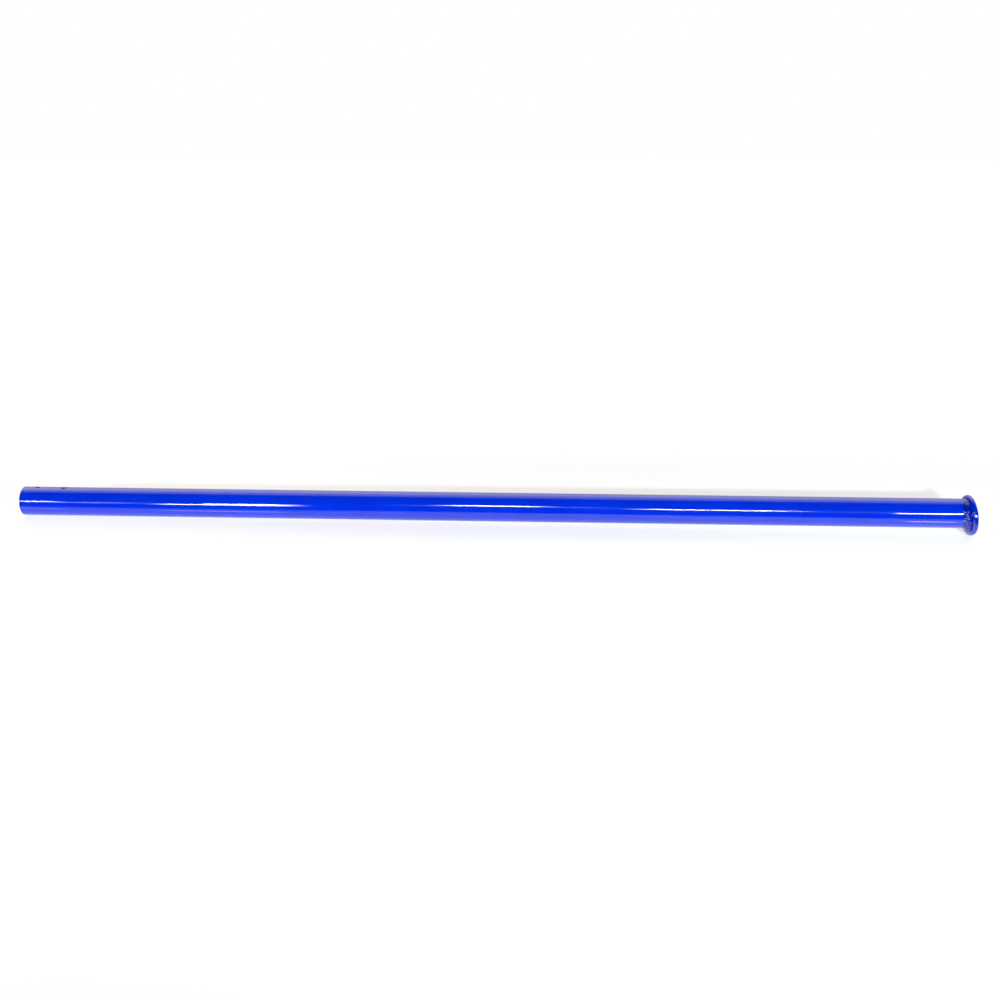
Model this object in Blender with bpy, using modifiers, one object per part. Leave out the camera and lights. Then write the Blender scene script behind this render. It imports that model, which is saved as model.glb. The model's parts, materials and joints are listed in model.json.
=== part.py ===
"""Sway bar: a straight steel tube with two cross holes near its open end, and a thick round
plate welded on its other end.

The tube's axis is the X axis. The origin is where that axis meets the plate's outer face, the
tube runs towards -X from there, and the cross holes run along Z. All sizes are in metres.
"""

import math

import bmesh
import bpy
from mathutils import Vector

# Tube
TUBE_OD = 0.0320                     # 1 1/4 in round tube and its powder coat
TUBE_WALL = 0.0032                   # 0.120 in and the coat
OVERALL_LENGTH = 1.0417              # open end to the plate's outer face, along the axis
OPEN_END_OUTER_ROUND = 0.0007        # the filed outer edge of the open end
OPEN_END_BORE_CHAMFER = 0.0004
TUBE_SEGMENTS = 96

# Cross holes, drilled through both walls: distance from the open end, and diameter
END_HOLE = (0.0164, 0.0048)
INNER_HOLE = (0.0469, 0.0064)
HOLE_DEBURR = 0.0004                 # width of the 45 degree edge break at each mouth
HOLE_SEGMENTS = 32

# Plate, which sits a little low and off square, as the tube's cut is off square
PLATE_OD = 0.0441
PLATE_THICKNESS = 0.0055
PLATE_EDGE_ROUND = 0.0022            # both rims are almost fully rounded
PLATE_DROP = 0.0018                  # the plate's centre lies this far below the tube's axis
PLATE_LEAN = math.radians(5.4)       # the top leans over the tube
PLATE_SWING = math.radians(4.1)      # the +Y side swings over the tube
PLATE_SEGMENTS = 96
PLATE_ROUND_STEPS = 6

# Weld bead, widest where the low plate leaves most room for it
WELD_PLATE_SHARE = 0.70              # part of the plate's free margin that the bead covers
WELD_TUBE_LEG_RATIO = 0.9            # leg along the tube over leg up the plate, top and bottom
WELD_SIDE_LEG_RATIO = 2.0            # the same at the sides, where the bead is drawn out
WELD_TOE = 0.0003                    # thickness of the bead at its two toes
WELD_CROWN = 0.06                    # rise of the bead's rounded face, as a part of its chord
WELD_SEGMENTS = 96
WELD_FACE_STEPS = 8

GAP = 0.0003                         # clearance between neighbouring solids

# Blue gloss powder coat: colour, roughness, metallic value
POWDER_COAT = ((0.004, 0.030, 0.640), 0.12, 0.0)

TUBE_RADIUS = TUBE_OD / 2
BORE_RADIUS = TUBE_RADIUS - TUBE_WALL
PLATE_RADIUS = PLATE_OD / 2


def clear_scene():
    for obj in list(bpy.data.objects):
        bpy.data.objects.remove(obj, do_unlink=True)


def new_collection(name):
    collection = bpy.data.collections.new(name)
    bpy.context.scene.collection.children.link(collection)
    return collection


def add_object(name, mesh, collection):
    obj = bpy.data.objects.new(name, mesh)
    collection.objects.link(obj)
    return obj


def add_coat(obj):
    """Give the object its own powder coat material."""
    colour, roughness, metallic = POWDER_COAT
    material = bpy.data.materials.new(obj.name + "_coat")
    material.use_nodes = True
    shader = material.node_tree.nodes["Principled BSDF"]
    shader.inputs["Base Color"].default_value = (*colour, 1.0)
    shader.inputs["Roughness"].default_value = roughness
    shader.inputs["Metallic"].default_value = metallic
    material.diffuse_color = (*colour, 1.0)
    obj.data.materials.clear()
    obj.data.materials.append(material)


def arc(centre, radius, start, end, steps):
    """Points (radius from the axis, height) along an arc; the angles are in degrees."""
    points = []
    for i in range(steps + 1):
        angle = math.radians(start + (end - start) * i / steps)
        points.append((centre[0] + radius * math.cos(angle), centre[1] + radius * math.sin(angle)))
    return points


def turned(name, profile, segments, collection):
    """Turn a closed profile of (radius, height) points about local Z."""
    mesh = bpy.data.meshes.new(name)
    vertices = [(radius, 0.0, height) for radius, height in profile]
    edges = [(i, (i + 1) % len(profile)) for i in range(len(profile))]
    mesh.from_pydata(vertices, edges, [])
    obj = add_object(name, mesh, collection)
    screw = obj.modifiers.new("turn", "SCREW")
    screw.axis = "Z"
    screw.angle = math.tau
    screw.steps = segments
    screw.render_steps = segments
    screw.use_merge_vertices = True
    screw.merge_threshold = 0.00001
    screw.use_smooth_shade = True
    return obj


def make_cutter(obj):
    obj.display_type = "WIRE"
    obj.hide_render = True


def add_plate_frame(collection):
    """An empty on the plate's outer face, with local +X along the plate's outward normal."""
    frame = add_object("plate_frame", None, collection)
    frame.rotation_euler = (0.0, -PLATE_LEAN, PLATE_SWING)
    return frame


def add_end_cut(plate_frame, cutters):
    """A block whose -X face trims the tube parallel to the plate, one gap away from it."""
    size = 0.1
    mesh = bpy.data.meshes.new("end_cut")
    shape = bmesh.new()
    bmesh.ops.create_cube(shape, size=size)
    shape.to_mesh(mesh)
    shape.free()
    cutter = add_object("end_cut", mesh, cutters)
    cutter.parent = plate_frame
    cutter.location = (size / 2 - PLATE_THICKNESS - GAP, 0.0, 0.0)
    make_cutter(cutter)


def add_hole_cut(name, hole, cutters):
    """A drill through both walls that flares 45 degrees at the outer surface."""
    distance, diameter = hole
    radius = diameter / 2
    flank_height = math.sqrt(TUBE_RADIUS ** 2 - radius ** 2)
    flare_start = min(TUBE_RADIUS - HOLE_DEBURR, flank_height)
    reach = TUBE_RADIUS + 0.002
    flare_radius = radius + reach - flare_start
    profile = [(0.0, reach), (flare_radius, reach), (radius, flare_start),
               (radius, -flare_start), (flare_radius, -reach), (0.0, -reach)]
    mesh = bpy.data.meshes.new(name)
    vertices = [(x, 0.0, z) for x, z in profile]
    edges = [(i, i + 1) for i in range(len(profile) - 1)]
    mesh.from_pydata(vertices, edges, [])
    cutter = add_object(name, mesh, cutters)
    screw = cutter.modifiers.new("turn", "SCREW")
    screw.steps = HOLE_SEGMENTS
    screw.render_steps = HOLE_SEGMENTS
    screw.use_merge_vertices = True
    screw.merge_threshold = 0.00001
    cutter.location = (distance - OVERALL_LENGTH, 0.0, 0.0)
    make_cutter(cutter)


def bake_modifiers(obj):
    """Replace the object's mesh by its evaluated one, so that edges can be marked sharp."""
    depsgraph = bpy.context.evaluated_depsgraph_get()
    mesh = bpy.data.meshes.new_from_object(obj.evaluated_get(depsgraph))
    obj.modifiers.clear()
    obj.data = mesh
    mesh.name = obj.name
    mesh.shade_smooth()
    mesh.set_sharp_from_angle(angle=math.radians(35))


def add_bar_tube(plate_frame, collection, cutters):
    outer_centre = (TUBE_RADIUS - OPEN_END_OUTER_ROUND, OPEN_END_OUTER_ROUND - OVERALL_LENGTH)
    profile = [(TUBE_RADIUS, 0.0)]
    profile += arc(outer_centre, OPEN_END_OUTER_ROUND, 0, -90, 4)
    profile += [(BORE_RADIUS + OPEN_END_BORE_CHAMFER, -OVERALL_LENGTH),
                (BORE_RADIUS, OPEN_END_BORE_CHAMFER - OVERALL_LENGTH),
                (BORE_RADIUS, 0.0)]
    tube = turned("bar_tube", profile, TUBE_SEGMENTS, collection)
    tube.rotation_euler = (0.0, math.pi / 2, 0.0)
    add_end_cut(plate_frame, cutters)
    add_hole_cut("end_hole_cut", END_HOLE, cutters)
    add_hole_cut("inner_hole_cut", INNER_HOLE, cutters)
    cut = tube.modifiers.new("cuts", "BOOLEAN")
    cut.operation = "DIFFERENCE"
    cut.solver = "EXACT"
    cut.operand_type = "COLLECTION"
    cut.collection = cutters
    bake_modifiers(tube)
    add_coat(tube)


def add_end_plate(plate_frame, collection):
    mesh = bpy.data.meshes.new("end_plate")
    shape = bmesh.new()
    bmesh.ops.create_cone(shape, cap_ends=True, segments=PLATE_SEGMENTS, radius1=PLATE_RADIUS,
                          radius2=PLATE_RADIUS, depth=PLATE_THICKNESS)
    shape.to_mesh(mesh)
    shape.free()
    mesh.shade_smooth()
    mesh.set_sharp_from_angle(angle=math.radians(35))
    plate = add_object("end_plate", mesh, collection)
    plate.parent = plate_frame
    plate.rotation_euler = (0.0, math.pi / 2, 0.0)
    plate.location = (-PLATE_THICKNESS / 2, 0.0, -PLATE_DROP)
    rims = plate.modifiers.new("round_rims", "BEVEL")
    rims.limit_method = "ANGLE"
    rims.angle_limit = math.radians(35)
    rims.width = PLATE_EDGE_ROUND
    rims.segments = PLATE_ROUND_STEPS
    rims.harden_normals = True
    add_coat(plate)


def plate_margin(angle):
    """Free width of the plate outside the tube, in the direction at this angle round X."""
    across = PLATE_DROP * math.cos(angle)
    return math.sqrt(PLATE_RADIUS ** 2 - across ** 2) - PLATE_DROP * math.sin(angle) - TUBE_RADIUS


def plate_face_x(radius, angle):
    """X of the plate's tube-side face at this distance and angle round the axis."""
    normal = Vector((math.cos(PLATE_LEAN) * math.cos(PLATE_SWING),
                     math.cos(PLATE_LEAN) * math.sin(PLATE_SWING), math.sin(PLATE_LEAN)))
    sideways = radius * math.cos(angle) * normal.y + radius * math.sin(angle) * normal.z
    return -(PLATE_THICKNESS + sideways) / normal.x


def weld_section(angle):
    """The bead's outline at this angle, as (radius, x) points from the root corner round."""
    plate_leg = WELD_PLATE_SHARE * plate_margin(angle)
    side_share = math.cos(angle) ** 2
    leg_ratio = WELD_TUBE_LEG_RATIO + side_share * (WELD_SIDE_LEG_RATIO - WELD_TUBE_LEG_RATIO)
    tube_leg = leg_ratio * plate_leg
    inner = TUBE_RADIUS + GAP
    outer = inner + plate_leg
    root = (inner, plate_face_x(inner, angle) - GAP)
    plate_toe = (outer, plate_face_x(outer, angle) - GAP)
    face_start = Vector((plate_toe[0], plate_toe[1] - WELD_TOE))
    face_end = Vector((inner + WELD_TOE, root[1] - tube_leg))
    tube_toe = (inner, face_end[1])
    chord = face_end - face_start
    outward = Vector((-chord.y, chord.x))
    section = [root, plate_toe]
    for i in range(WELD_FACE_STEPS + 1):
        t = i / WELD_FACE_STEPS
        crown = WELD_CROWN * math.sin(math.pi * t)
        section.append(tuple(face_start + chord * t + outward * crown))
    section.append(tube_toe)
    return section


def add_plate_weld(collection):
    """The fillet bead in the corner of tube and plate, lofted through its sections."""
    mesh = bpy.data.meshes.new("plate_weld")
    shape = bmesh.new()
    rings = []
    for i in range(WELD_SEGMENTS):
        angle = math.tau * i / WELD_SEGMENTS
        ring = []
        for radius, x in weld_section(angle):
            ring.append(shape.verts.new((x, radius * math.cos(angle), radius * math.sin(angle))))
        rings.append(ring)
    for ring, following in zip(rings, rings[1:] + rings[:1]):
        for i in range(len(ring)):
            j = (i + 1) % len(ring)
            shape.faces.new((ring[i], ring[j], following[j], following[i]))
    bmesh.ops.recalc_face_normals(shape, faces=shape.faces)
    shape.to_mesh(mesh)
    shape.free()
    mesh.shade_smooth()
    mesh.set_sharp_from_angle(angle=math.radians(35))
    weld = add_object("plate_weld", mesh, collection)
    add_coat(weld)


def main():
    clear_scene()
    collection = new_collection("sway_bar")
    cutters = new_collection("cutters")
    plate_frame = add_plate_frame(collection)
    add_bar_tube(plate_frame, collection, cutters)
    add_end_plate(plate_frame, collection)
    add_plate_weld(collection)


main()
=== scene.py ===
import json
import math

import bmesh
import bpy
from mathutils import Matrix, Vector, noise

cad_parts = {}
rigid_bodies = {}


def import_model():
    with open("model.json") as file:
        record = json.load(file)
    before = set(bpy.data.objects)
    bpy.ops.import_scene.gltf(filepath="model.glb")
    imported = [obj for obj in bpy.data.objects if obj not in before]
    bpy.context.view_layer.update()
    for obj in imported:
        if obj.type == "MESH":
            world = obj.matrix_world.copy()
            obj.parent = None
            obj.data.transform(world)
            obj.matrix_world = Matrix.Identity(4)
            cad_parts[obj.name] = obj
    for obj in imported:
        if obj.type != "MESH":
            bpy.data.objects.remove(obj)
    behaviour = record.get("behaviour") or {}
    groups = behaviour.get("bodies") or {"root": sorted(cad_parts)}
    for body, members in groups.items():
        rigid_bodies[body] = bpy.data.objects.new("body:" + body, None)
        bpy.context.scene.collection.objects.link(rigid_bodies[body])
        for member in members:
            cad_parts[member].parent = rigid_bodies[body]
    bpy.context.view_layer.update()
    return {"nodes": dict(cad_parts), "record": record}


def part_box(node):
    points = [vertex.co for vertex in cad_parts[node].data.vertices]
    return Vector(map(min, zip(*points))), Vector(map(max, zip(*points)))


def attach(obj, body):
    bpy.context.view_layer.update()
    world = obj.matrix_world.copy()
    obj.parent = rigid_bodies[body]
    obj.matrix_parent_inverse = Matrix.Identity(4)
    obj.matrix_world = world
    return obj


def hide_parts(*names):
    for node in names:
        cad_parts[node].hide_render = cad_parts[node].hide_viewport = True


# A blue powder-coated tube with two cross holes at its open end and a round plate welded on the
# other, lying on a white table. +X runs along it towards the plate, and +Y away from the camera.

for leftover in list(bpy.data.objects):
    bpy.data.objects.remove(leftover, do_unlink=True)

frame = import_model()

# ------------------------------------------------------------ sizes read from the frame


def node_points(name):
    return [vertex.co for vertex in frame["nodes"][name].data.vertices]


tube_low, tube_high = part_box("bar_tube")
plate_low, plate_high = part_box("end_plate")
OPEN_END_X = tube_low.x
TUBE_RADIUS = tube_high.y
BORE_RADIUS = min(math.hypot(point.y, point.z) for point in node_points("bar_tube"))
BAR_MIDDLE = Vector((OPEN_END_X / 2, 0.0, 0.0))

# The plate's outer face passes through the origin, so its normal and its middle give the rest.
plate_mount = [m for m in frame["record"]["mounts"] if m["name"] == "plate_outer_face"][0]
PLATE_NORMAL = Vector(plate_mount["axis"]).normalized()
PLATE_MIDDLE = (plate_low + plate_high) / 2
PLATE_THICKNESS = -2 * PLATE_MIDDLE.dot(PLATE_NORMAL)
PLATE_RADIUS = max((point - PLATE_MIDDLE).cross(PLATE_NORMAL).length
                   for point in node_points("end_plate"))
# Local +X of the plate's frame is its normal.
PLATE_FRAME = (Matrix.Rotation(math.atan2(PLATE_NORMAL.y, PLATE_NORMAL.x), 4, "Z")
               @ Matrix.Rotation(-math.asin(PLATE_NORMAL.z), 4, "Y"))
PLATE_DROP = -PLATE_MIDDLE.dot(PLATE_FRAME.col[2].xyz)

# ------------------------------------------------------------ sizes of the fine shapes, in metres

TUBE_SEGMENTS = 128
TUBE_RING_SPACING = 0.045
TUBE_LAST_RING_X = -0.016          # clear of the slanting cut at the plate
OPEN_END_ROUND = 0.0007
OPEN_END_STEPS = 6
OPEN_END_BORE_ROUND = 0.0004
OPEN_END_BORE_STEPS = 4

CROSS_HOLES = ((0.0164, 0.0024), (0.0469, 0.0032))       # distance from the open end, radius
HOLE_LIP = 0.0005                  # rounding of a hole's outer lip, built up by the coat
HOLE_LIP_STEPS = 6
HOLE_INNER_LIP = 0.0002
HOLE_INNER_LIP_STEPS = 3
PATCH_HALF_LENGTH = 0.0060         # of the mesh patch round a hole
PATCH_CELLS = 16                   # along each side of that patch
PATCH_HALF_CELLS = PATCH_CELLS // 2
PATCH_RINGS = 6                    # from the patch's square edge to the hole's lip

PLATE_EDGE_ROUND = 0.0022
PLATE_EDGE_STEPS = 10
PLATE_SEGMENTS = 160
PLATE_FACE_RINGS = (0.12, 0.4, 0.7)    # on its flat faces, as shares of its radius

# Angles round the bead go from +Z towards +Y.
BEAD_SEGMENTS = 416
BEAD_STEPS = 20                    # from toe to toe across the bead's face
BEAD_SINK = 0.0003                 # how deep the bead's root reaches into tube and plate
BEAD_PLATE_SHARE = (0.12, 0.60)    # part of the plate's free margin it covers, least and most
BEAD_THIN_SIDE = math.radians(30)  # where it covers the least
BEAD_TUBE_LEG = (0.0012, 0.0090)   # how far it runs along the tube, least and most
BEAD_LONG_SIDE = math.radians(-88)     # where it runs furthest
BEAD_CROWN_PLACE = 0.42            # distance of the crown from the plate, over the tube leg
BEAD_PLATE_TOE = 1.5               # place across, from 0 at the tube's toe and 1 on the crown
BEAD_FLANK_HOLLOW = 1.6            # above 1 the flank runs out hollow on the tube
BEAD_VALLEY = 0.10                 # how far the face sinks from the crown to the plate
BEAD_FULL_HEIGHT = 0.0030          # a lower bead has smaller ripples and lumps
BEAD_RIPPLES = 20                  # round the whole bead
BEAD_RIPPLE_HEIGHT = 0.00050
BEAD_RIPPLE_BEND = 1.3             # how far a ripple lags behind towards the toes
BEAD_RIPPLE_FRONT = 0.9            # the place across, where it is furthest ahead
BEAD_RIPPLE_CREASE = 0.02          # 0 would leave sharp creases between ripples
BEAD_RIPPLE_MEAN = 0.6             # taken off, so that ripples both rise and sink
BEAD_LUMP_HEIGHT = 0.0009
BEAD_LUMPS_ROUND = 7.0             # noise scale round the bead
BEAD_LUMPS_ACROSS = 2.4            # and across it
BEAD_DRIFT_ROUND = 2.3             # noise scale of the slow drifts
# Slow drifts: how strong, and which slice of the noise
BEAD_HEIGHT_DRIFT = (0.10, 1.7)
BEAD_LEG_DRIFT = (0.06, 5.1)
BEAD_RIPPLE_DRIFT = (0.9, 9.4)

# ------------------------------------------------------------ mesh helpers

SMOOTH_BELOW = math.radians(40)    # edges that turn by more than this stay sharp


def add_piece(name, builder, node):
    """Make a piece from a filled bmesh and let it stand for its CAD node."""
    mesh = bpy.data.meshes.new(name)
    bmesh.ops.recalc_face_normals(builder, faces=builder.faces)
    builder.to_mesh(mesh)
    builder.free()
    mesh.shade_smooth()
    mesh.set_sharp_from_angle(angle=SMOOTH_BELOW)
    piece = bpy.data.objects.new(name, mesh)
    bpy.context.scene.collection.objects.link(piece)
    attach(piece, "root")
    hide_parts(node)
    return piece


def add_sheet(name, half_size):
    """A flat square that isn't part of the object."""
    mesh = bpy.data.meshes.new(name)
    builder = bmesh.new()
    bmesh.ops.create_grid(builder, x_segments=1, y_segments=1, size=half_size)
    builder.to_mesh(mesh)
    builder.free()
    sheet = bpy.data.objects.new(name, mesh)
    bpy.context.scene.collection.objects.link(sheet)
    return sheet


def bridge(builder, rings):
    """Fill the strips between closed rings of vertices."""
    for ring, following in zip(rings, rings[1:]):
        for i in range(len(ring)):
            j = (i + 1) % len(ring)
            builder.faces.new((ring[i], ring[j], following[j], following[i]))


def new_ring(builder, points):
    return [builder.verts.new(point) for point in points]


def quarter_turn(steps):
    """Angles from 0 to a right angle, both ends included."""
    return [math.pi / 2 * i / steps for i in range(steps + 1)]


def circle_points(radius, x, segments=TUBE_SEGMENTS):
    """Points of a circle round the X axis; the first lies on the +Z side."""
    points = []
    for j in range(segments):
        angle = math.tau * j / segments
        points.append(Vector((x, radius * math.sin(angle), radius * math.cos(angle))))
    return points


def plate_face_x(y, z):
    """X of the plate's tube-side face at this place across the bar."""
    return -(PLATE_THICKNESS + y * PLATE_NORMAL.y + z * PLATE_NORMAL.z) / PLATE_NORMAL.x


# ------------------------------------------------------------ tube with its cross holes


def tube_stations():
    """X of the tube's rings between its rounded open end and its last ring at the plate."""
    stations = [OPEN_END_X + OPEN_END_ROUND]
    for distance, _ in CROSS_HOLES:
        centre = OPEN_END_X + distance
        for i in range(PATCH_CELLS + 1):
            stations.append(centre + PATCH_HALF_LENGTH * (2 * i / PATCH_CELLS - 1))
    start = stations[-1]
    rings = round((TUBE_LAST_RING_X - start) / TUBE_RING_SPACING)
    stations += [start + (TUBE_LAST_RING_X - start) * i / rings for i in range(1, rings + 1)]
    return stations


class DrilledSkin:
    """One skin of the tube, outer or bore: a grid of rings with square gaps for the holes."""

    def __init__(self, builder, radius, stations):
        self.builder = builder
        self.radius = radius
        self.stations = stations
        self.gaps = []             # each gap's first ring and the middle of its span round the tube
        for distance, _ in CROSS_HOLES:
            start = OPEN_END_X + distance - PATCH_HALF_LENGTH
            first = min(range(len(stations)), key=lambda i: abs(stations[i] - start))
            for middle in (0, TUBE_SEGMENTS // 2):
                self.gaps.append((first, middle))
        self.vertices = {}
        for i, x in enumerate(stations):
            for j, point in enumerate(circle_points(radius, x)):
                if not self.inside_gap(i, j):
                    self.vertices[i, j] = builder.verts.new(point)

    def gap_offsets(self, i, j):
        """Cells from each gap's first ring and from its middle to this grid point."""
        half_turn = TUBE_SEGMENTS // 2
        return [(i - first, (j - middle + half_turn) % TUBE_SEGMENTS - half_turn)
                for first, middle in self.gaps]

    def inside_gap(self, i, j):
        """True for a grid point strictly inside a gap."""
        return any(0 < along < PATCH_CELLS and abs(across) < PATCH_HALF_CELLS
                   for along, across in self.gap_offsets(i, j))

    def is_gap_cell(self, i, j):
        """True for a cell of a gap, by its first corner."""
        return any(0 <= along < PATCH_CELLS and -PATCH_HALF_CELLS <= across < PATCH_HALF_CELLS
                   for along, across in self.gap_offsets(i, j))

    def fill(self):
        for i in range(len(self.stations) - 1):
            for j in range(TUBE_SEGMENTS):
                if not self.is_gap_cell(i, j):
                    k = (j + 1) % TUBE_SEGMENTS
                    self.builder.faces.new((self.vertices[i, j], self.vertices[i, k],
                                            self.vertices[i + 1, k], self.vertices[i + 1, j]))

    def ring(self, i):
        return [self.vertices[i, j] for j in range(TUBE_SEGMENTS)]

    def gap_edge(self, gap):
        """The vertices round a gap, from its corner at the lowest X and lowest angle."""
        first, middle = gap
        last = first + PATCH_CELLS
        low = middle - PATCH_HALF_CELLS
        high = middle + PATCH_HALF_CELLS
        keys = [(first + i, low) for i in range(PATCH_CELLS)]
        keys += [(last, low + j) for j in range(PATCH_CELLS)]
        keys += [(last - i, high) for i in range(PATCH_CELLS)]
        keys += [(first, high - j) for j in range(PATCH_CELLS)]
        return [self.vertices[i, j % TUBE_SEGMENTS] for i, j in keys]


def hole_circle(edge, centre_x, radius):
    """Evenly spaced points (x, y) of a circle, matched to the corners of a gap's square edge."""
    start = math.copysign(3 * math.pi / 4, edge[0].co.y)
    turn = -math.copysign(math.tau, start) / len(edge)
    angles = [start + turn * m for m in range(len(edge))]
    return [(centre_x + radius * math.cos(a), radius * math.sin(a)) for a in angles]


def hole_ring(builder, edge, centre_x, side, radius, skin_radius, sunk):
    """A ring of the hole's lip or wall, sunk this deep below the skin."""
    points = []
    for x, y in hole_circle(edge, centre_x, radius):
        height = math.sqrt(skin_radius ** 2 - y ** 2) - sunk
        points.append((x, y, side * height))
    return new_ring(builder, points)


def patch_rings(builder, edge, centre_x, side, radius, skin_radius):
    """Rings on the skin that change from the gap's square edge to the lip's circle."""
    rings = [edge]
    circle = hole_circle(edge, centre_x, radius)
    for k in range(1, PATCH_RINGS + 1):
        share = k / PATCH_RINGS
        points = []
        for vertex, (circle_x, circle_y) in zip(edge, circle):
            x = vertex.co.x + (circle_x - vertex.co.x) * share
            y = vertex.co.y + (circle_y - vertex.co.y) * share
            points.append((x, y, side * math.sqrt(skin_radius ** 2 - y ** 2)))
        rings.append(new_ring(builder, points))
    return rings


def drill(builder, outer, bore, gap_index):
    """One hole through one wall: lip, wall and inner lip, joined to both skins."""
    distance, radius = CROSS_HOLES[gap_index // 2]
    centre_x = OPEN_END_X + distance
    side = 1 if outer.gaps[gap_index][1] == 0 else -1
    outer_edge = outer.gap_edge(outer.gaps[gap_index])
    inner_edge = bore.gap_edge(bore.gaps[gap_index])
    rings = patch_rings(builder, outer_edge, centre_x, side, radius + HOLE_LIP, outer.radius)
    for angle in quarter_turn(HOLE_LIP_STEPS)[1:]:
        rings.append(hole_ring(builder, outer_edge, centre_x, side,
                               radius + HOLE_LIP * (1 - math.sin(angle)), outer.radius,
                               HOLE_LIP * (1 - math.cos(angle))))
    for angle in reversed(quarter_turn(HOLE_INNER_LIP_STEPS)[1:]):
        rings.append(hole_ring(builder, inner_edge, centre_x, side,
                               radius + HOLE_INNER_LIP * (1 - math.sin(angle)), bore.radius,
                               -HOLE_INNER_LIP * (1 - math.cos(angle))))
    rings += reversed(patch_rings(builder, inner_edge, centre_x, side,
                                  radius + HOLE_INNER_LIP, bore.radius))
    bridge(builder, rings)


def open_end_rings(builder):
    """The open end's outer rounding, flat rim and inner rounding."""
    rings = []
    for angle in quarter_turn(OPEN_END_STEPS)[1:]:
        radius = TUBE_RADIUS - OPEN_END_ROUND * (1 - math.cos(angle))
        x = OPEN_END_X + OPEN_END_ROUND * (1 - math.sin(angle))
        rings.append(new_ring(builder, circle_points(radius, x)))
    for angle in quarter_turn(OPEN_END_BORE_STEPS):
        radius = BORE_RADIUS + OPEN_END_BORE_ROUND * (1 - math.sin(angle))
        x = OPEN_END_X + OPEN_END_BORE_ROUND * (1 - math.cos(angle))
        rings.append(new_ring(builder, circle_points(radius, x)))
    return rings


def plate_end_ring(builder, radius):
    """A ring cut parallel to the plate, hidden under the bead."""
    points = circle_points(radius, 0.0)
    for point in points:
        point.x = plate_face_x(point.y, point.z)
    return new_ring(builder, points)


def build_tube():
    builder = bmesh.new()
    stations = tube_stations()
    outer = DrilledSkin(builder, TUBE_RADIUS, stations)
    bore = DrilledSkin(builder, BORE_RADIUS, stations)
    outer.fill()
    bore.fill()
    for gap_index in range(len(outer.gaps)):
        drill(builder, outer, bore, gap_index)
    open_end = open_end_rings(builder)
    plate_end = [plate_end_ring(builder, skin.radius) for skin in (bore, outer)]
    last = len(stations) - 1
    bridge(builder, [bore.ring(last), *plate_end, outer.ring(last)])
    bridge(builder, [outer.ring(0), *open_end, bore.ring(0)])
    return add_piece("coated_tube", builder, "bar_tube")


# ------------------------------------------------------------ end plate


def build_plate():
    """A thick disc with both rims rounded, turned about its own axis."""
    profile = [(PLATE_RADIUS * share, 0.0) for share in PLATE_FACE_RINGS]
    for angle in quarter_turn(PLATE_EDGE_STEPS):
        profile.append((PLATE_RADIUS - PLATE_EDGE_ROUND * (1 - math.sin(angle)),
                        -PLATE_EDGE_ROUND * (1 - math.cos(angle))))
    profile += [(radius, -PLATE_THICKNESS - x) for radius, x in reversed(profile)]
    builder = bmesh.new()
    rings = []
    for radius, x in profile:
        points = circle_points(radius, x, PLATE_SEGMENTS)
        for point in points:
            point.z -= PLATE_DROP
        rings.append(new_ring(builder, [PLATE_FRAME @ point for point in points]))
    bridge(builder, rings)
    builder.faces.new(rings[0])
    builder.faces.new(rings[-1])
    return add_piece("coated_plate", builder, "end_plate")


# ------------------------------------------------------------ weld bead


def plate_margin(angle):
    """Free width of the plate outside the tube, at this angle."""
    across = PLATE_DROP * math.sin(angle)
    reach = math.sqrt(PLATE_RADIUS ** 2 - across ** 2) - PLATE_DROP * math.cos(angle)
    return reach - TUBE_RADIUS


def noise_round(angle, scale, slice_place):
    """Smooth unevenness from -1 to 1 that closes on itself round the bead."""
    return noise.noise(Vector((scale * math.cos(angle), scale * math.sin(angle), slice_place)))


def bead_drift(angle, drift):
    strength, slice_place = drift
    return strength * noise_round(angle, BEAD_DRIFT_ROUND, slice_place)


def bead_height(angle):
    """How far up the plate the bead reaches at this angle."""
    thin, thick = BEAD_PLATE_SHARE
    share = (thin + thick) / 2 - (thick - thin) / 2 * math.cos(angle - BEAD_THIN_SIDE)
    return share * plate_margin(angle) * (1 + bead_drift(angle, BEAD_HEIGHT_DRIFT))


def bead_leg(angle):
    """How far along the tube the bead reaches at this angle."""
    short, long = BEAD_TUBE_LEG
    leg = short + (long - short) * (1 + math.cos(angle - BEAD_LONG_SIDE)) / 2
    return leg * (1 + bead_drift(angle, BEAD_LEG_DRIFT))


def bead_unevenness(angle, t):
    """Ripples and lumps, in metres, t of the way across the bead at this angle."""
    phase = BEAD_RIPPLES * angle / 2 + BEAD_RIPPLE_BEND * (t - BEAD_RIPPLE_FRONT) ** 2
    phase += bead_drift(angle, BEAD_RIPPLE_DRIFT)
    ripple = math.sqrt(math.sin(phase) ** 2 + BEAD_RIPPLE_CREASE) - BEAD_RIPPLE_MEAN
    lump = noise_round(angle, BEAD_LUMPS_ROUND, BEAD_LUMPS_ACROSS * t)
    return BEAD_RIPPLE_HEIGHT * ripple + BEAD_LUMP_HEIGHT * lump


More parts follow.
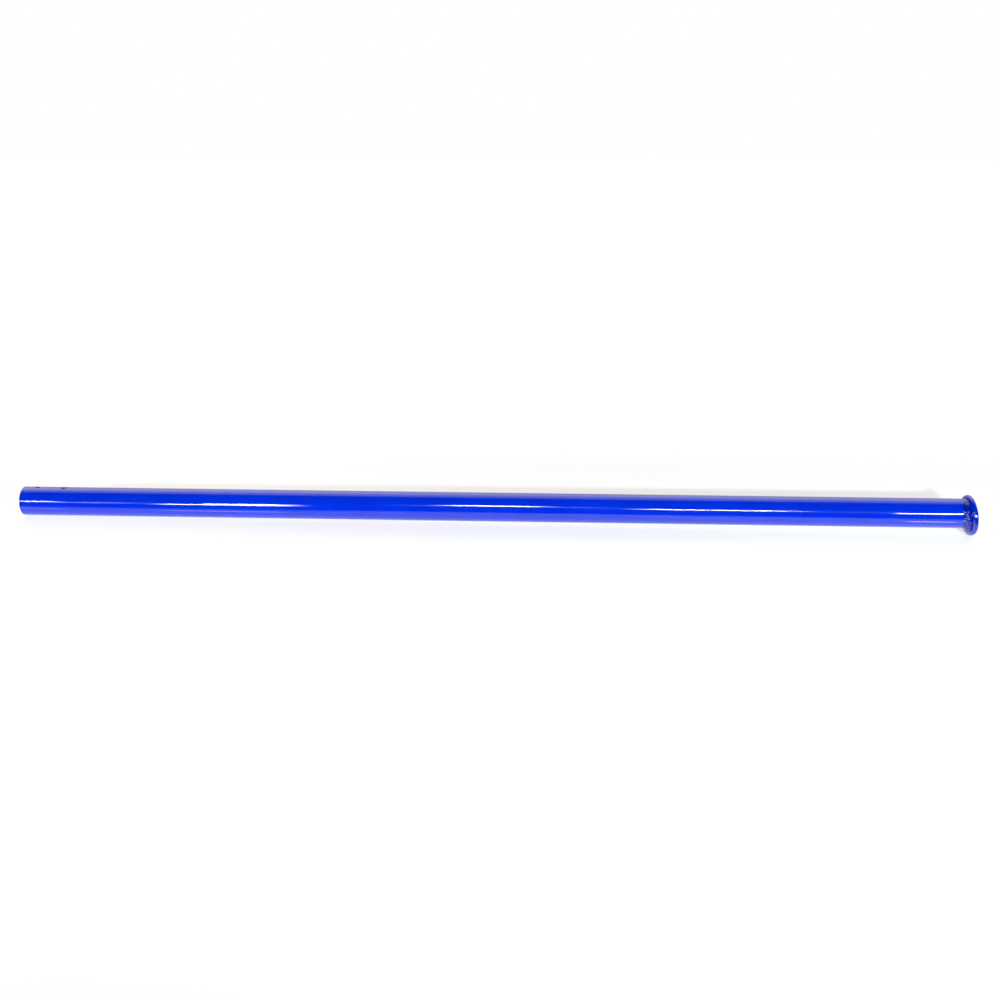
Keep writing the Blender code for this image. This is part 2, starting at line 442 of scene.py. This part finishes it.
def bead_section(angle):
    """Points across the bead, from the tube's toe over the crown to the plate's toe.

    A point is its height over the tube and its distance along the tube from the plate.
    """
    height = bead_height(angle)
    leg = bead_leg(angle)
    crown = BEAD_CROWN_PLACE * leg
    fullness = min(1.0, height / BEAD_FULL_HEIGHT)
    points = []
    for i in range(BEAD_STEPS + 1):
        t = BEAD_PLATE_TOE * i / BEAD_STEPS
        if t <= 1:
            distance = leg + (crown - leg) * t
            rise = height * math.sin(math.pi / 2 * t) ** BEAD_FLANK_HOLLOW
        else:
            distance = crown * (BEAD_PLATE_TOE - t) / (BEAD_PLATE_TOE - 1)
            rise = height * (1 - BEAD_VALLEY * math.sin(math.pi * (t - 1)) ** 2)
        if 0 < i < BEAD_STEPS:
            hump = fullness * math.sin(math.pi * t / BEAD_PLATE_TOE) ** 2
            rise += hump * bead_unevenness(angle, t)
        points.append((rise, distance))
    return points


def build_bead():
    """The weld's fillet bead with its ripples, lofted round the tube."""
    builder = bmesh.new()
    rings = []
    for i in range(BEAD_SEGMENTS):
        angle = math.tau * i / BEAD_SEGMENTS
        face = bead_section(angle)
        tube_root = (-BEAD_SINK, face[0][1])
        plate_root = (face[-1][0], -BEAD_SINK)
        corner_root = (-BEAD_SINK, -BEAD_SINK)
        points = []
        for height, distance in (tube_root, *face, plate_root, corner_root):
            y = (TUBE_RADIUS + height) * math.sin(angle)
            z = (TUBE_RADIUS + height) * math.cos(angle)
            points.append((plate_face_x(y, z) - distance, y, z))
        rings.append(new_ring(builder, points))
    bridge(builder, rings + rings[:1])
    return add_piece("weld_bead", builder, "plate_weld")


# ------------------------------------------------------------ shader node helpers


def feed(tree, value, socket):
    """Give a socket a number, a colour or another node's output."""
    if isinstance(value, (int, float)):
        socket.default_value = value
    elif isinstance(value, tuple):
        socket.default_value = (*value, 1.0)
    else:
        tree.links.new(value, socket)


def coordinates(tree, kind="Object"):
    return tree.nodes.new("ShaderNodeTexCoord").outputs[kind]


def axes_of(tree, vector):
    parts = tree.nodes.new("ShaderNodeSeparateXYZ")
    feed(tree, vector, parts.inputs["Vector"])
    return parts.outputs


def calculate(tree, operation, first, second=0.0):
    node = tree.nodes.new("ShaderNodeMath")
    node.operation = operation
    feed(tree, first, node.inputs[0])
    feed(tree, second, node.inputs[1])
    return node.outputs["Value"]


def remap(tree, value, low, high, to_low, to_high):
    """Change smoothly from to_low to to_high as the value goes from low to high."""
    node = tree.nodes.new("ShaderNodeMapRange")
    node.interpolation_type = "SMOOTHSTEP"
    feed(tree, value, node.inputs["Value"])
    for socket, number in (("From Min", low), ("From Max", high),
                           ("To Min", to_low), ("To Max", to_high)):
        feed(tree, number, node.inputs[socket])
    return node.outputs["Result"]


def mix_value(tree, share, first, second):
    node = tree.nodes.new("ShaderNodeMix")
    feed(tree, share, node.inputs["Factor"])
    feed(tree, first, node.inputs[2])
    feed(tree, second, node.inputs[3])
    return node.outputs[0]


def mix_colour(tree, share, first, second):
    node = tree.nodes.new("ShaderNodeMix")
    node.data_type = "RGBA"
    feed(tree, share, node.inputs["Factor"])
    feed(tree, first, node.inputs[6])
    feed(tree, second, node.inputs[7])
    return node.outputs[2]


def noise_node(tree, place, size, detail=2.0, roughness=0.5):
    """Noise whose features are about this many metres wide."""
    node = tree.nodes.new("ShaderNodeTexNoise")
    node.inputs["Scale"].default_value = 1.0 / size
    node.inputs["Detail"].default_value = detail
    node.inputs["Roughness"].default_value = roughness
    feed(tree, place, node.inputs["Vector"])
    return node.outputs["Fac"]


def ray_value(tree, camera, glossy, other):
    """A value that depends on the ray: seen by the camera, mirrored in a gloss, or lighting."""
    rays = tree.nodes.new("ShaderNodeLightPath")
    unseen = mix_value(tree, rays.outputs["Is Glossy Ray"], other, glossy)
    return mix_value(tree, rays.outputs["Is Camera Ray"], unseen, camera)


def emission(tree, strength):
    node = tree.nodes.new("ShaderNodeEmission")
    feed(tree, strength, node.inputs["Strength"])
    return node.outputs["Emission"]


def new_material(name):
    material = bpy.data.materials.new(name)
    material.use_nodes = True
    tree = material.node_tree
    return material, tree, tree.nodes["Principled BSDF"]


# ------------------------------------------------------------ powder coat and bare steel

COAT_BLUE = (0.0004, 0.034, 0.80)
COAT_BLUE_DEEP = (0.0003, 0.028, 0.73)
PLATE_PAINTED_SHADE = 0.80                 # painted shade: the plate's blue over the tube's, deeper to stand in for the plate's shade
BEAD_PAINTED_SHADE = 0.50                  # painted shade: the bead's blue over the tube's, deeper for the shade in the corner between tube and plate
NOISE_SPAN = (0.3, 0.7)            # nearly all of a noise's values lie between these
DRIFT_SIZE = 0.05                  # width of the patches between the two blues
SPECK_SIZE = 0.0005
SPECK_SPAN = (0.62, 0.8)           # noise between these grows into a pigment speck
SPECK_STRENGTH = 0.25
COAT_IOR = 1.5
COAT_ROUGHNESS = (0.015, 0.022)    # of the clear gloss
HAZE_SIZE = 0.018                  # width of the patches between those two
PIGMENT_ROUGHNESS = 0.45
PEEL_SIZE = 0.0030                 # width of one dimple of the coat's orange peel
PEEL_DEPTH = 0.0000004

# Painted shade: a deep line round the open end's rim, where its rounded edge mirrors the dark room.
RIM_PAINTED_SHADE_BLUE = (0.0001, 0.010, 0.18)
RIM_PAINTED_SHADE_STRENGTH = 0.9
RIM_PAINTED_SHADE_REACH = (0.0010, 0.0017)       # in from the open end the line ends between these
# Bare steel inside the tube, made near black so that it also stands in for the shade in the bore
# and the hole walls
STEEL_AND_SHADE_DARK = (0.003, 0.003, 0.006)
STEEL_SCALE = (0.010, 0.008, 0.009)
STEEL_GLOSS = 0.25
SCALE_SIZE = 0.006                 # width of a patch of mill scale
SCALE_SPAN = (0.35, 0.7)           # noise between these changes into scale
BARE_DEPTH = (0.0004, 0.0012)      # below the tube's surface the coat ends between these
OVERSPRAY_REACH = (0.002, 0.010)   # in from the open end the overspray ends between these
OVERSPRAY_WAVER = 0.006            # how unevenly it ends
OVERSPRAY_SIZE = 0.004             # width of its tongues


def bare_share(tree, place, inward):
    """1 on the bare steel of the bore and the hole walls, 0 on the coat.

    Overspray reaches a little way into the open end; inward is the distance in from it.
    """
    axes = axes_of(tree, place)
    squares = [calculate(tree, "MULTIPLY", axes[name], axes[name]) for name in ("Y", "Z")]
    radius = calculate(tree, "SQRT", calculate(tree, "ADD", *squares))
    shallow, deep = BARE_DEPTH
    inside = remap(tree, radius, TUBE_RADIUS - deep, TUBE_RADIUS - shallow, 1.0, 0.0)
    tongues = noise_node(tree, place, OVERSPRAY_SIZE, detail=3.0)
    waver = calculate(tree, "MULTIPLY", tongues, OVERSPRAY_WAVER)
    depth = calculate(tree, "ADD", inward, waver)
    return calculate(tree, "MULTIPLY", inside, remap(tree, depth, *OVERSPRAY_REACH, 0.0, 1.0))


def coat_colour(tree, place, painted_shade):
    """Blue that drifts between two shades, with fine pigment specks, darkened by the painted shade.
    """
    light = tuple(painted_shade * part for part in COAT_BLUE)
    deep = tuple(painted_shade * part for part in COAT_BLUE_DEEP)
    drift = remap(tree, noise_node(tree, place, DRIFT_SIZE, detail=3.0), *NOISE_SPAN, 0.0, 1.0)
    specks = noise_node(tree, place, SPECK_SIZE, detail=1.0)
    specks = remap(tree, specks, *SPECK_SPAN, 0.0, SPECK_STRENGTH)
    return mix_colour(tree, specks, mix_colour(tree, drift, light, deep), deep)


def steel_colour(tree, place):
    scale = noise_node(tree, place, SCALE_SIZE, detail=5.0)
    scale = remap(tree, scale, *SCALE_SPAN, 0.0, 1.0)
    return mix_colour(tree, scale, STEEL_AND_SHADE_DARK, STEEL_SCALE)


def add_orange_peel(tree, place, shader):
    bump = tree.nodes.new("ShaderNodeBump")
    bump.inputs["Distance"].default_value = PEEL_DEPTH
    dimples = noise_node(tree, place, PEEL_SIZE, detail=1.5, roughness=0.4)
    feed(tree, dimples, bump.inputs["Height"])
    feed(tree, bump.outputs["Normal"], shader.inputs["Coat Normal"])
    feed(tree, bump.outputs["Normal"], shader.inputs["Normal"])


def powder_coat(name, painted_shade=1.0, has_bore=False):
    """Gloss blue powder coat; a painted shade below 1 darkens it to stand in for shade, and a bore
    stays bare steel.
    """
    material, tree, shader = new_material(name)
    place = coordinates(tree)
    colour = coat_colour(tree, place, painted_shade)
    coat_weight = 1.0
    gloss = 0.0
    if has_bore:
        inward = calculate(tree, "SUBTRACT", axes_of(tree, place)["X"], OPEN_END_X)
        # painted shade: the deep line round the open end's rim
        painted_rim_shade = remap(tree, inward, *RIM_PAINTED_SHADE_REACH, RIM_PAINTED_SHADE_STRENGTH, 0.0)
        bare = bare_share(tree, place, inward)
        colour = mix_colour(tree, painted_rim_shade, colour, RIM_PAINTED_SHADE_BLUE)
        # bare steel, near black so that it also stands in for the shade inside the tube
        colour = mix_colour(tree, bare, colour, steel_colour(tree, place))
        coat_weight = calculate(tree, "SUBTRACT", 1.0, bare)
        gloss = calculate(tree, "MULTIPLY", bare, STEEL_GLOSS)
    feed(tree, colour, shader.inputs["Base Color"])
    feed(tree, PIGMENT_ROUGHNESS, shader.inputs["Roughness"])
    feed(tree, gloss, shader.inputs["Specular IOR Level"])
    feed(tree, coat_weight, shader.inputs["Coat Weight"])
    feed(tree, COAT_IOR, shader.inputs["Coat IOR"])
    haze = noise_node(tree, place, HAZE_SIZE, detail=4.0)
    coat_roughness = remap(tree, haze, *NOISE_SPAN, *COAT_ROUGHNESS)
    feed(tree, coat_roughness, shader.inputs["Coat Roughness"])
    add_orange_peel(tree, place, shader)
    return material


# ------------------------------------------------------------ camera

CAMERA_AIM = Vector((0.01386, 0.0, 0.0082))     # from the middle of the bar
CAMERA_DISTANCE = 1.3305
CAMERA_AZIMUTH = math.radians(-3.565)
CAMERA_ELEVATION = math.radians(17.13)
CAMERA_ROLL = math.radians(-0.30)
CAMERA_LENS = 43.7                 # in millimetres, as is the sensor
CAMERA_SENSOR = 36.0
CAMERA_CLIP = (0.01, 100.0)


def add_camera():
    data = bpy.data.cameras.new("camera")
    data.lens = CAMERA_LENS
    data.sensor_width = CAMERA_SENSOR
    data.clip_start, data.clip_end = CAMERA_CLIP
    camera = bpy.data.objects.new("camera", data)
    bpy.context.scene.collection.objects.link(camera)
    back = Vector((-math.sin(CAMERA_AZIMUTH) * math.cos(CAMERA_ELEVATION),
                   -math.cos(CAMERA_AZIMUTH) * math.cos(CAMERA_ELEVATION),
                   math.sin(CAMERA_ELEVATION)))
    place = BAR_MIDDLE + CAMERA_AIM + back * CAMERA_DISTANCE
    turn = (-back).to_track_quat("-Z", "Y").to_matrix() @ Matrix.Rotation(CAMERA_ROLL, 3, "Z")
    camera.matrix_world = Matrix.Translation(place) @ turn.to_4x4()
    bpy.context.scene.camera = camera
    return camera


# ------------------------------------------------------------ floor

# X and Y on the floor start under the plate's foot and run along and across the bar.
FLOOR_HALF_SIZE = 15.0
FLOOR_REFLECTS = 0.14              # its base colour; the rest of its white is its own glow
FLOOR_ROUGHNESS = 0.5
ROOM_DARK = 0.005                  # radiance of the unlit room in front of the bar

# As the camera sees it: FLOOR_GLOW and the painted shade under the bar give a value for each place
# of FLOOR_GLOW_X.
FLOOR_GLOW_X = (-1.0, -0.2)
FLOOR_GLOW = (0.72, 0.61)
FLOOR_GLOW_TINT = (1.0, 0.955, 0.930)
FLOOR_LIFT = 0.30                  # how much brighter it is far behind the bar
FLOOR_LIFT_Y = (0.20, 0.60)        # it brightens from here to here
FLOOR_PAINTED_SHADE = (0.0, 0.09)            # painted shade: how much dimmer it is under the bar and just in front
FLOOR_PAINTED_SHADE_IN_Y = (-0.085, -0.025)  # the painted shade grows from here to here
FLOOR_PAINTED_SHADE_OUT_Y = (0.02, 0.05)     # and ends from here to here

# As it lights the bar
SHED_GLOW = (0.45, 0.40)           # in front of the bar and under it
SHED_GLOW_Y = (-1.5, 0.5)          # it changes between these, in tube radii
SHED_GLOW_SHARE = (1.0, 0.15)      # how much of it is left at each place of FLOOR_GLOW_X

# As the coat's gloss shows it
MIRRORED_GLOW = (1.15, 0.25)       # in front of the bar, and behind it in its shade
MIRRORED_GLOW_Y = (-1.0, 2.0)      # it changes between these, in tube radii
MIRRORED_LIFT = 0.50               # how much brighter it is beyond the shade
MIRRORED_LIFT_Y = (0.09, 0.18)     # the shade ends from here to here
GLOW_END_Y = (0.026, 0.052)        # at this distance in front of the bar it fades into the room
GLOW_SPREAD = 0.010                # but this much further out towards the plate
GLOW_SPREAD_X = (-0.80, -0.60)     # the spread grows from here to here
GLOW_END_X = (0.028, 0.045)        # and it fades at this distance beyond the open end
# Painted light: bright streaks on the floor just in front of the bar, which only the coat's gloss
# shows, as extra lines of light low on the bar: start and end along the bar (0 open end, 1 plate),
# radiance
PAINTED_FLOOR_STREAKS = ((-0.02, 0.05, 2.0), (0.13, 0.30, 4.0), (0.69, 0.77, 1.0), (0.93, 0.995, 11.0))
STREAK_Y = -0.0275
STREAK_HALF_WIDTH = 0.0035
STREAK_CORE = 0.5                  # share of its length that is fully bright


def along_bar(share):
    """X of a place along the bar, from 0 at the open end to 1 at the plate."""
    return OPEN_END_X * (1 - share)


def painted_floor_streaks(tree, axes):
    """Radiance of the painted light streaks at this place on the floor."""
    off_line = calculate(tree, "ABSOLUTE", calculate(tree, "SUBTRACT", axes["Y"], STREAK_Y))
    near_line = remap(tree, off_line, 0.0, STREAK_HALF_WIDTH, 1.0, 0.0)
    total = 0.0
    for start, end, radiance in PAINTED_FLOOR_STREAKS:
        half = (end - start) / 2 * abs(OPEN_END_X)
        middle = along_bar((start + end) / 2)
        off_middle = calculate(tree, "ABSOLUTE", calculate(tree, "SUBTRACT", axes["X"], middle))
        streak = remap(tree, off_middle, STREAK_CORE * half, half, radiance, 0.0)
        total = calculate(tree, "ADD", streak, total)
    return calculate(tree, "MULTIPLY", total, near_line)


def seen_glow(tree, axes):
    """The floor's glow as the camera sees it, with a painted shade under the bar and just in front.
    """
    glow = remap(tree, axes["X"], *FLOOR_GLOW_X, *FLOOR_GLOW)
    painted_floor_shade = remap(tree, axes["X"], *FLOOR_GLOW_X, *FLOOR_PAINTED_SHADE)
    painted_floor_shade = calculate(tree, "MULTIPLY", painted_floor_shade, remap(tree, axes["Y"], *FLOOR_PAINTED_SHADE_IN_Y, 0.0, 1.0))
    painted_floor_shade = calculate(tree, "MULTIPLY", painted_floor_shade, remap(tree, axes["Y"], *FLOOR_PAINTED_SHADE_OUT_Y, 1.0, 0.0))
    lift = remap(tree, axes["Y"], *FLOOR_LIFT_Y, 0.0, FLOOR_LIFT)
    return calculate(tree, "ADD", calculate(tree, "SUBTRACT", glow, painted_floor_shade), lift)


def shed_glow(tree, axes):
    """The floor's glow as it lights the bar."""
    near, far = [TUBE_RADIUS * radii for radii in SHED_GLOW_Y]
    glow = remap(tree, axes["Y"], near, far, *SHED_GLOW)
    share = remap(tree, axes["X"], *FLOOR_GLOW_X, *SHED_GLOW_SHARE)
    return calculate(tree, "MULTIPLY", glow, share)


def mirrored_glow(tree, axes):
    """The floor's glow as the coat's gloss shows it, with the painted light streaks."""
    near, far = [TUBE_RADIUS * radii for radii in MIRRORED_GLOW_Y]
    glow = remap(tree, axes["Y"], near, far, *MIRRORED_GLOW)
    lift = remap(tree, axes["Y"], *MIRRORED_LIFT_Y, 0.0, MIRRORED_LIFT)
    return calculate(tree, "ADD", calculate(tree, "ADD", glow, lift), painted_floor_streaks(tree, axes))


def mirrored_end(tree, axes):
    """1 where the gloss shows the dark room instead of the floor, 0 near the bar."""
    spread = remap(tree, axes["X"], *GLOW_SPREAD_X, 0.0, GLOW_SPREAD)
    in_front = calculate(tree, "MULTIPLY", calculate(tree, "ADD", axes["Y"], spread), -1.0)
    beyond = calculate(tree, "SUBTRACT", OPEN_END_X, axes["X"])
    return calculate(tree, "MAXIMUM", remap(tree, in_front, *GLOW_END_Y, 0.0, 1.0),
                     remap(tree, beyond, *GLOW_END_X, 0.0, 1.0))


def floor_material():
    """White that glows differently to the camera, to the coat's gloss and to the bar."""
    material, tree, shader = new_material("floor_white")
    axes = axes_of(tree, coordinates(tree))
    feed(tree, (FLOOR_REFLECTS,) * 3, shader.inputs["Base Color"])
    feed(tree, FLOOR_ROUGHNESS, shader.inputs["Roughness"])
    seen = tree.nodes.new("ShaderNodeLightPath").outputs["Is Camera Ray"]
    tint = mix_colour(tree, seen, (1.0, 1.0, 1.0), FLOOR_GLOW_TINT)
    feed(tree, tint, shader.inputs["Emission Color"])
    glow = ray_value(tree, seen_glow(tree, axes), mirrored_glow(tree, axes),
                     shed_glow(tree, axes))
    feed(tree, glow, shader.inputs["Emission Strength"])
    mix = tree.nodes.new("ShaderNodeMixShader")
    feed(tree, ray_value(tree, 0.0, mirrored_end(tree, axes), 0.0), mix.inputs["Fac"])
    feed(tree, shader.outputs["BSDF"], mix.inputs[1])
    feed(tree, emission(tree, ROOM_DARK), mix.inputs[2])
    feed(tree, mix.outputs["Shader"], tree.nodes["Material Output"].inputs["Surface"])
    material.cycles.emission_sampling = "NONE"
    return material


def add_floor():
    """A white table that both the plate's rim and the open end's lower edge rest on."""
    plate_foot = Vector((0.0, 0.0, plate_low.z))
    end_foot = Vector((OPEN_END_X, 0.0, -TUBE_RADIUS))
    along = (plate_foot - end_foot).normalized()
    slope = math.atan2(along.z, along.x)
    floor = add_sheet("floor", FLOOR_HALF_SIZE)
    floor.location = plate_foot
    floor.rotation_euler = (0.0, -slope, 0.0)
    floor.data.materials.append(floor_material())
    return floor


# ------------------------------------------------------------ world

WORLD_WHITE = 1.0                  # as the camera sees it
WORLD_SOFT = (0.44, 0.06)          # soft light from across the bar and from beyond its ends
WORLD_SOFT_X = (0.35, 0.85)        # it changes between these directions along X
# Backdrop as the coat's gloss shows it: degrees up from the front horizon, radiance
BACKDROP = ((84, ROOM_DARK), (92, 0.45), (99, 1.4), (108, 1.9), (118, 2.3),
            (134, 2.8), (147, 1.85), (165, 0.9), (180, 0.7))
# It ends between these directions along X
BACKDROP_LEFT_X = (-0.62, -0.48)
BACKDROP_RIGHT_X = (0.80, 0.95)


def backdrop_radiance(tree, degrees_share):
    """Radiance of the backdrop at this share of 180 degrees up from the front horizon."""
    ramp = tree.nodes.new("ShaderNodeValToRGB")
    stops = ramp.color_ramp.elements
    while len(stops) < len(BACKDROP):
        stops.new(1.0)
    peak = max(radiance for _, radiance in BACKDROP)
    for stop, (degrees, radiance) in zip(stops, BACKDROP):
        stop.position = degrees / 180
        stop.color = (*[radiance / peak] * 3, 1.0)
    feed(tree, degrees_share, ramp.inputs["Fac"])
    return calculate(tree, "MULTIPLY", ramp.outputs["Color"], peak)


def add_world():
    """White to the camera; to the coat's gloss a backdrop overhead and behind, else a dark room."""
    world = bpy.data.worlds.new("studio")
    bpy.context.scene.world = world
    world.use_nodes = True
    tree = world.node_tree
    direction = axes_of(tree, coordinates(tree, "Generated"))
    front = calculate(tree, "MULTIPLY", direction["Y"], -1.0)
    angle = calculate(tree, "ARCTAN2", direction["Z"], front)
    backdrop = backdrop_radiance(tree, calculate(tree, "DIVIDE", angle, math.pi))
    inside = calculate(tree, "MULTIPLY", remap(tree, direction["X"], *BACKDROP_LEFT_X, 0.0, 1.0),
                       remap(tree, direction["X"], *BACKDROP_RIGHT_X, 1.0, 0.0))
    mirrored = mix_value(tree, inside, ROOM_DARK, backdrop)
    sideways = calculate(tree, "ABSOLUTE", direction["X"])
    soft = remap(tree, sideways, *WORLD_SOFT_X, *WORLD_SOFT)
    background = tree.nodes["Background"]
    background.inputs["Color"].default_value = (1.0, 1.0, 1.0, 1.0)
    feed(tree, ray_value(tree, WORLD_WHITE, mirrored, soft), background.inputs["Strength"])


# ------------------------------------------------------------ lights

# Lamps that the coat's gloss shows as lines along the bar: where the line starts and ends
# (0 open end, 1 plate), the share of it that is fully bright, and the lamp's elevation in
# degrees, its height in metres and its radiance
FRONT_LIGHTS = (
    (-0.160, 0.065, 0.60, 11.6, 0.34, 34.0),
    (-0.100, 0.200, 0.20, 9.9, 0.30, 4.4),
    (0.125, 0.325, 0.50, 8.1, 0.40, 38.0),
    (0.425, 0.590, 0.30, 23.9, 0.25, 60.0),
    (0.360, 0.680, 0.20, 22.2, 0.28, 4.5),
    (0.630, 0.850, 0.55, 16.4, 0.28, 110.0),
    (0.640, 0.980, 0.60, 14.0, 0.30, 0.8),
    (0.912, 1.120, 0.85, 12.5, 0.34, 60.0),
    (0.520, 1.050, 0.50, 18.0, 0.40, 0.3),
)
CARD_HALF = 0.5                    # half of a lamp's card before it is stretched to its size
CARD_FADE_Y = (0.2, 0.5)           # up and down from its middle it fades between these
CARD_FADE_POWER = 2.0              # how fast it fades to the sides

FILL_RADIANCE = 2.5
FILL_SIZE = (4.0, 1.2)
FILL_PLACE = Vector((0.0, -2.0, 0.6))      # from the middle of the bar

# Low lamps that light only the floor and throw the bar's shadow backwards: place along X, the
# place on the bar that the lamp faces, radiance
LOW_LAMPS = ((-0.048, 0.0, 38000.0), (-1.43, -1.04, 16000.0))
LOW_LAMP_DISTANCE = 0.8
LOW_LAMP_WIDTH = 0.033
LOW_LAMP_ELEVATIONS = (14.5, 15.7)         # its lower and upper edge, in degrees
LOW_LAMP_TINT = (0.78, 0.92, 1.0)


def lamp_material(name, core, radiance):
    """A glow that fades from the lamp's core, this share of its width, to its edges."""
    material, tree, shader = new_material(name)
    tree.nodes.remove(shader)
    axes = axes_of(tree, coordinates(tree))
    across = remap(tree, calculate(tree, "ABSOLUTE", axes["X"]), core / 2, CARD_HALF, 1.0, 0.0)
    across = calculate(tree, "POWER", across, CARD_FADE_POWER)
    upward = remap(tree, calculate(tree, "ABSOLUTE", axes["Y"]), *CARD_FADE_Y, 1.0, 0.0)
    strength = calculate(tree, "MULTIPLY", calculate(tree, "MULTIPLY", across, upward), radiance)
    feed(tree, emission(tree, strength), tree.nodes["Material Output"].inputs["Surface"])
    material.cycles.emission_sampling = "FRONT_BACK"
    return material


def add_front_lights(camera):
    """Glowing cards that only the coat's gloss shows, as far from the bar as the camera is."""
    eye = camera.matrix_world.translation
    reach = math.hypot(eye.y, eye.z)
    for i, (start, end, core, elevation, height, radiance) in enumerate(FRONT_LIGHTS):
        name = "front_%d" % i
        tilt = math.radians(elevation)
        x = 2 * along_bar((start + end) / 2) - eye.x
        place = Vector((x, -reach * math.cos(tilt), reach * math.sin(tilt)))
        turn = (Vector((x, 0.0, 0.0)) - place).to_track_quat("-Z", "Y")
        # At that distance a card is twice as wide as its reflection is long.
        width = 2 * (end - start) * abs(OPEN_END_X)
        card = add_sheet(name, CARD_HALF)
        card.matrix_world = (Matrix.Translation(place) @ turn.to_matrix().to_4x4()
                             @ Matrix.Diagonal((width, height, 1.0, 1.0)))
        card.visible_camera = False
        card.visible_diffuse = False
        card.visible_shadow = False
        card.visible_transmission = False
        card.data.materials.append(lamp_material(name, core, radiance))


def add_area_light(name, place, aim, width, height, radiance):
    """A soft light of this radiance that shows neither to the camera nor in a gloss."""
    data = bpy.data.lights.new(name, "AREA")
    data.shape = "RECTANGLE"
    data.size = width
    data.size_y = height
    data.energy = radiance * math.pi * width * height
    light = bpy.data.objects.new(name, data)
    bpy.context.scene.collection.objects.link(light)
    light.location = place
    light.rotation_euler = (aim - place).to_track_quat("-Z", "Y").to_euler()
    light.visible_camera = False
    light.visible_glossy = False
    return light


def add_low_lamps(floor):
    lit = bpy.data.collections.new("lit_by_low_lamps")
    lit.objects.link(floor)
    low, high = [LOW_LAMP_DISTANCE * math.tan(math.radians(e)) for e in LOW_LAMP_ELEVATIONS]
    for i, (x, faced_x, radiance) in enumerate(LOW_LAMPS):
        place = Vector((x, -LOW_LAMP_DISTANCE, (low + high) / 2))
        lamp = add_area_light("low_lamp_%d" % i, place, Vector((faced_x, 0.0, 0.0)),
                              LOW_LAMP_WIDTH, high - low, radiance)
        lamp.data.color = LOW_LAMP_TINT
        lamp.light_linking.receiver_collection = lit


# ------------------------------------------------------------ the whole scene


def main():
    tube = build_tube()
    plate = build_plate()
    bead = build_bead()
    tube.data.materials.append(powder_coat("tube_coat", has_bore=True))
    # The plate and the bead get painted shade: darker copies of the tube's coat.
    plate.data.materials.append(powder_coat("plate_coat", PLATE_PAINTED_SHADE))
    bead.data.materials.append(powder_coat("bead_coat", BEAD_PAINTED_SHADE))
    floor = add_floor()
    add_world()
    camera = add_camera()
    add_front_lights(camera)
    add_area_light("fill", BAR_MIDDLE + FILL_PLACE, BAR_MIDDLE, *FILL_SIZE, FILL_RADIANCE)
    add_low_lamps(floor)
    bpy.context.scene.view_settings.view_transform = "Standard"


main()
